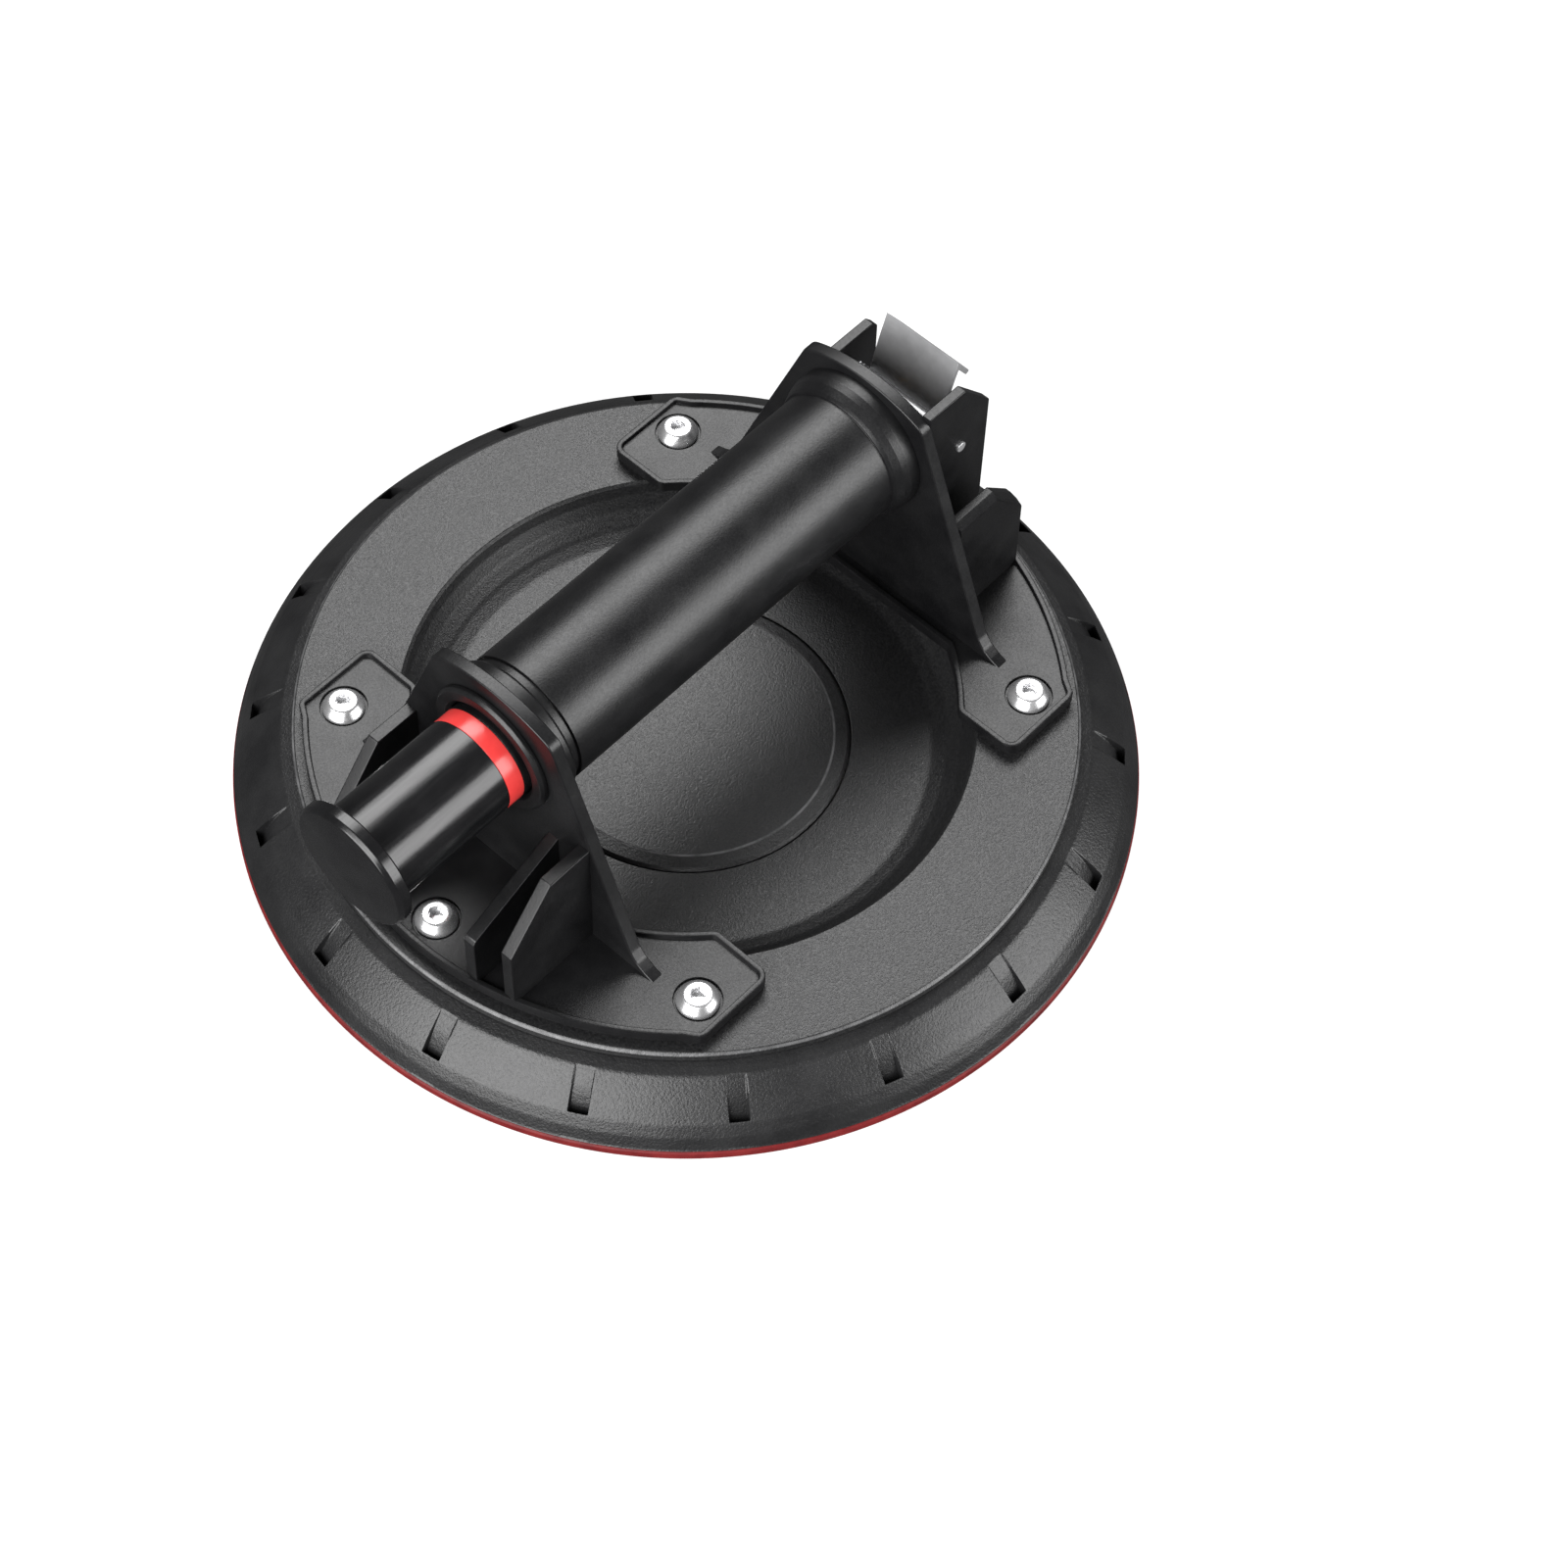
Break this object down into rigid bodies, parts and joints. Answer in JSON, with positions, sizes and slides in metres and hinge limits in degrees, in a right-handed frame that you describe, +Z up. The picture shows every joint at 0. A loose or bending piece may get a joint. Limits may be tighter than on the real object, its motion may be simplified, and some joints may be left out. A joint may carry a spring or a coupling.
{
  "type": "vacuum suction cup",
  "caption": "Round rubber suction cup on a dished plate, with a bridge handle whose hollow grip is a spring-loaded hand pump, a red vacuum indicator band and a release lever.",
  "frame": {"origin": "centre of the pad, on the surface that the pad rests on", "axes": "+X along the grip towards the release lever, +Z up, away from the surface"},
  "size_m": [0.203, 0.203, 0.0855],
  "materials": {
    "pad_rubber": "moulded black rubber, finely grained",
    "red_rubber": "soft red sealing rubber",
    "plate_coat": "dark grey, fine grain",
    "handle_plastic": "black, fine grain",
    "gloss_plastic": "smooth glossy black",
    "red_band": "glossy red warning band",
    "chrome": "bright plated screws",
    "lever_steel": "nickel-plated steel",
    "spring_steel": "drawn spring wire",
    "aluminium": "machined",
    "brass": "machined",
    "seal_rubber": "soft black rubber",
    "filter_felt": "pale felt"
  },
  "bodies": {
    "cup": {"base_plate": "plate_coat", "centre_disc": "plate_coat", "check_valve_ring": "brass", "check_valve_spring": "spring_steel", "cylinder_head": "aluminium", "filter_disc": "filter_felt", "foot_gasket_far": "seal_rubber", "foot_gasket_near": "seal_rubber", "handle": "handle_plastic", "handle_screw_1": "chrome", "handle_screw_2": "chrome", "handle_screw_3": "chrome", "handle_screw_4": "chrome", "handle_screw_5": "chrome", "handle_screw_6": "chrome", "head_fitting": "brass", "head_seal": "seal_rubber", "lever_pin": "lever_steel", "lever_spring": "spring_steel", "mouth_collar": "handle_plastic", "port_fitting": "brass", "pump_cylinder": "aluminium", "return_spring": "spring_steel", "rubber_pad": "pad_rubber", "screw_insert_1": "brass", "screw_insert_2": "brass", "screw_insert_3": "brass", "screw_insert_4": "brass", "screw_insert_5": "brass", "screw_insert_6": "brass", "sealing_ring": "red_rubber", "vacuum_line": "seal_rubber", "valve_guide": "brass", "valve_spring": "spring_steel", "wiper_seal": "seal_rubber"},
    "plunger": {"plunger_tube": "gloss_plastic", "red_band": "red_band", "thumb_cap": "gloss_plastic", "piston_head": "aluminium", "piston_seal": "seal_rubber"},
    "lever": {"release_lever": "lever_steel"},
    "valve": {"valve_stem": "lever_steel", "valve_seal": "seal_rubber"},
    "check_disc": {"check_valve_disc": "seal_rubber"}
  },
  "joints": [
    {"name": "plunger_slide", "type": "slide", "parent": "cup", "child": "plunger", "axis": [1, 0, 0], "range_m": [0, 0.0345], "stiffness_N_per_m": 300, "springref_m": -0.02, "deforming": ["return_spring"]},
    {"name": "lever_hinge", "type": "hinge", "parent": "cup", "child": "lever", "pos_m": [0.06735, 0, 0.065], "axis": [0, 1, 0], "range_deg": [0, 22], "stiffness_Nm_per_rad": 0.05, "springref_deg": -17.19, "deforming": ["lever_spring"]},
    {"name": "valve_stem_slide", "type": "slide", "parent": "cup", "child": "valve", "axis": [-1, 0, 0], "range_m": [0, 0.0038], "deforming": ["valve_spring"]},
    {"name": "check_valve_slide", "type": "slide", "parent": "cup", "child": "check_disc", "axis": [-1, 0, 0], "range_m": [0, 0.0012], "stiffness_N_per_m": 200, "springref_m": -0.002, "deforming": ["check_valve_spring"]}
  ],
  "couplings": [
    {"joint": "valve_stem_slide", "follows": "lever_hinge", "m_per_rad": 0.0095}
  ]
}
